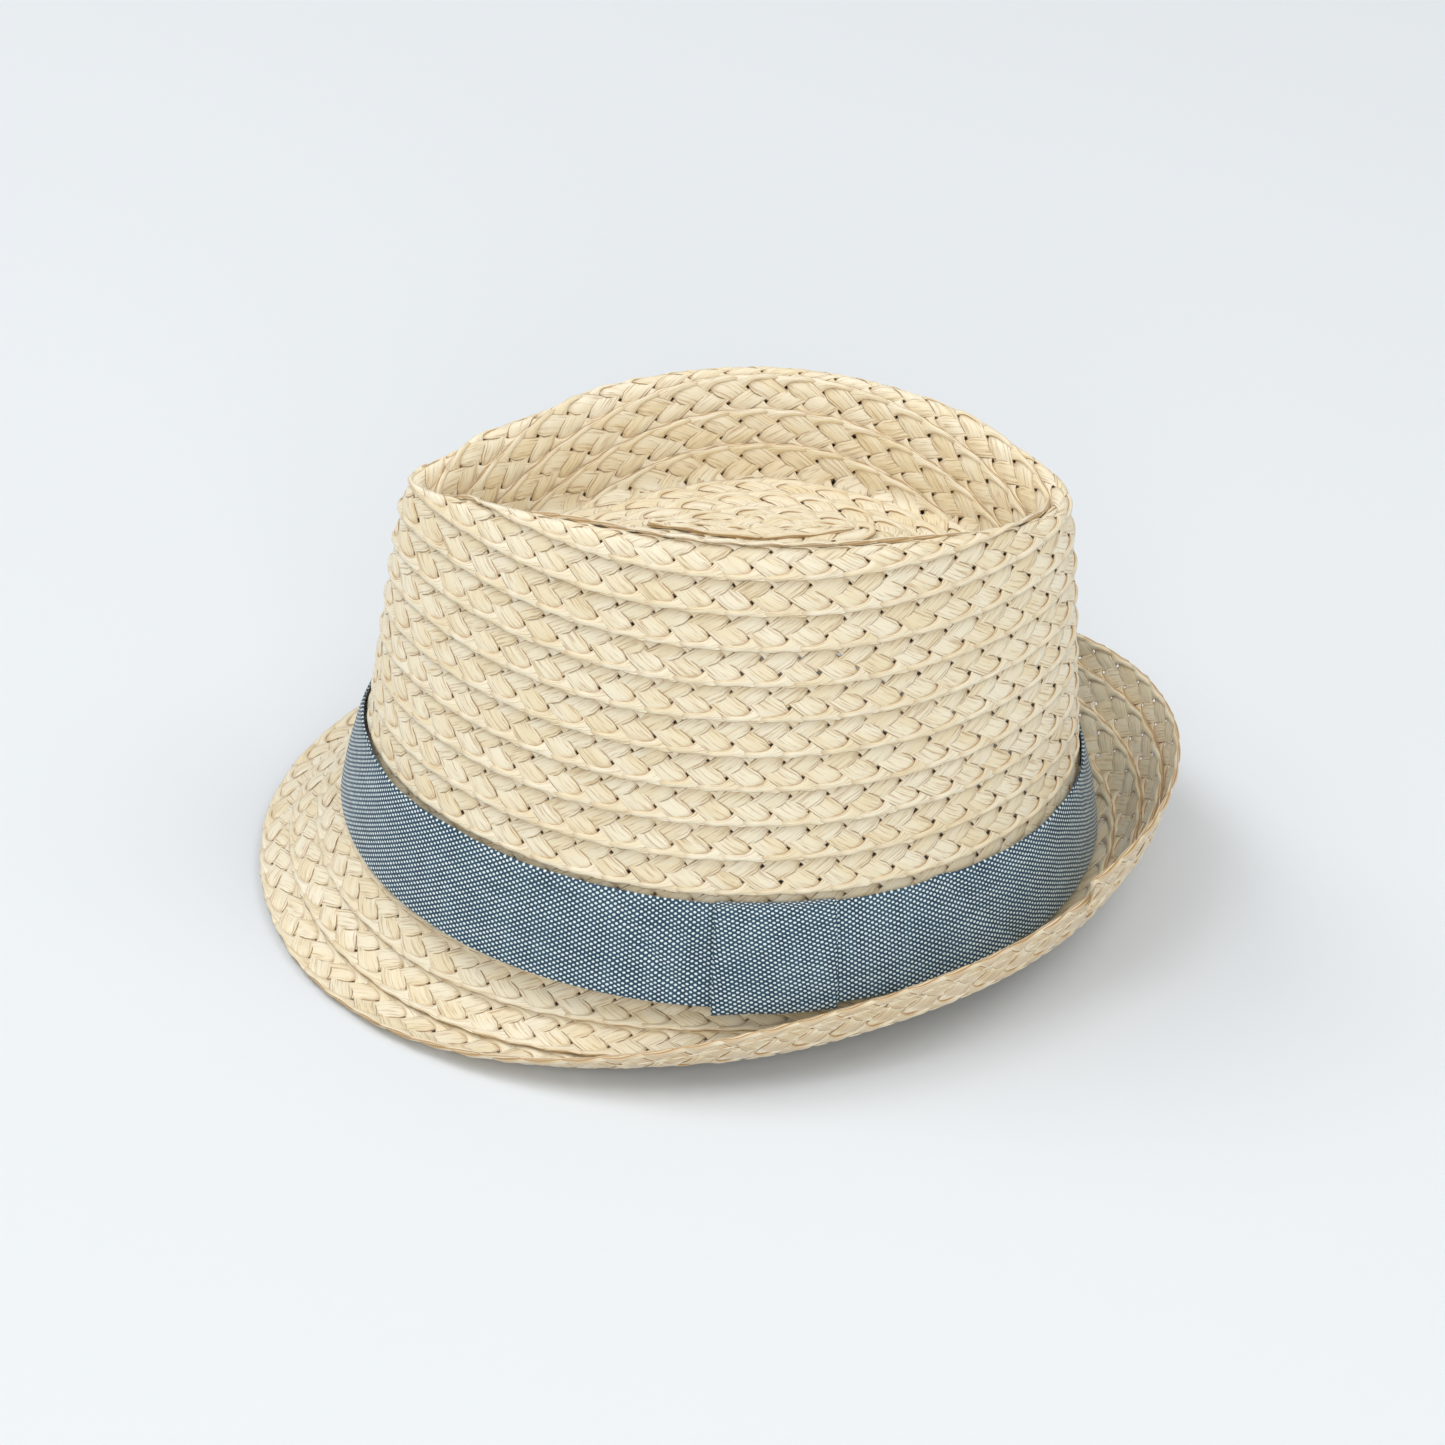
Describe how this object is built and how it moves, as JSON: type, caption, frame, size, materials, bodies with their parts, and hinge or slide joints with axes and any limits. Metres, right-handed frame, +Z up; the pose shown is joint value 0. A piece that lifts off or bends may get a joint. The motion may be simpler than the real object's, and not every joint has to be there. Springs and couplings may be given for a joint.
{
  "type": "fedora hat",
  "caption": "Sewn straw-braid fedora with a teardrop crown, a brim curled up at the sides and back, a fabric band with a flat keeper, a sweatband and sewn-in labels.",
  "frame": {"origin": "on the surface the hat stands on, under the centre of its bounding box; the lowest point of the brim is at z = 0", "axes": "+Z up through the crown, -Y the front of the hat, +Y the back, +X the wearer's left, where the keeper is"},
  "size_m": [0.2082, 0.2548, 0.1332],
  "materials": {
    "straw_braid": "matte plaited paper straw, cream with ochre edges",
    "chambray": "plain-weave cotton chambray, blue warp and white weft",
    "cotton_tape": "ribbed cotton tape, off-white",
    "label_satin": "blank white woven satin",
    "sewing_thread": "twisted cotton sewing thread, cream"
  },
  "bodies": {
    "hat": {"crown_braid": "straw_braid", "tip_braid": "straw_braid", "brim_braid": "straw_braid", "crown_thread": "sewing_thread", "tip_thread": "sewing_thread", "brim_thread": "sewing_thread", "sweatband_thread": "sewing_thread", "band_tack_front": "sewing_thread", "band_tack_right": "sewing_thread", "band_tack_back": "sewing_thread", "keeper_tack": "sewing_thread", "care_label_seam": "sewing_thread", "size_label_seam": "sewing_thread", "hat_band": "chambray", "band_keeper": "chambray", "sweatband": "cotton_tape"},
    "care_flap": {"care_label": "label_satin"},
    "size_flap": {"size_label": "label_satin"}
  },
  "joints": [
    {"name": "care_label_hinge", "type": "hinge", "parent": "hat", "child": "care_flap", "pos_m": [0, 0.09229, 0.04076], "axis": [-1, 0, 0], "range_deg": [-3, 140]},
    {"name": "size_label_hinge", "type": "hinge", "parent": "hat", "child": "size_flap", "pos_m": [-0.02853, 0.08407, 0.0404], "axis": [-0.8666, -0.499, 0], "range_deg": [-3, 140]}
  ]
}
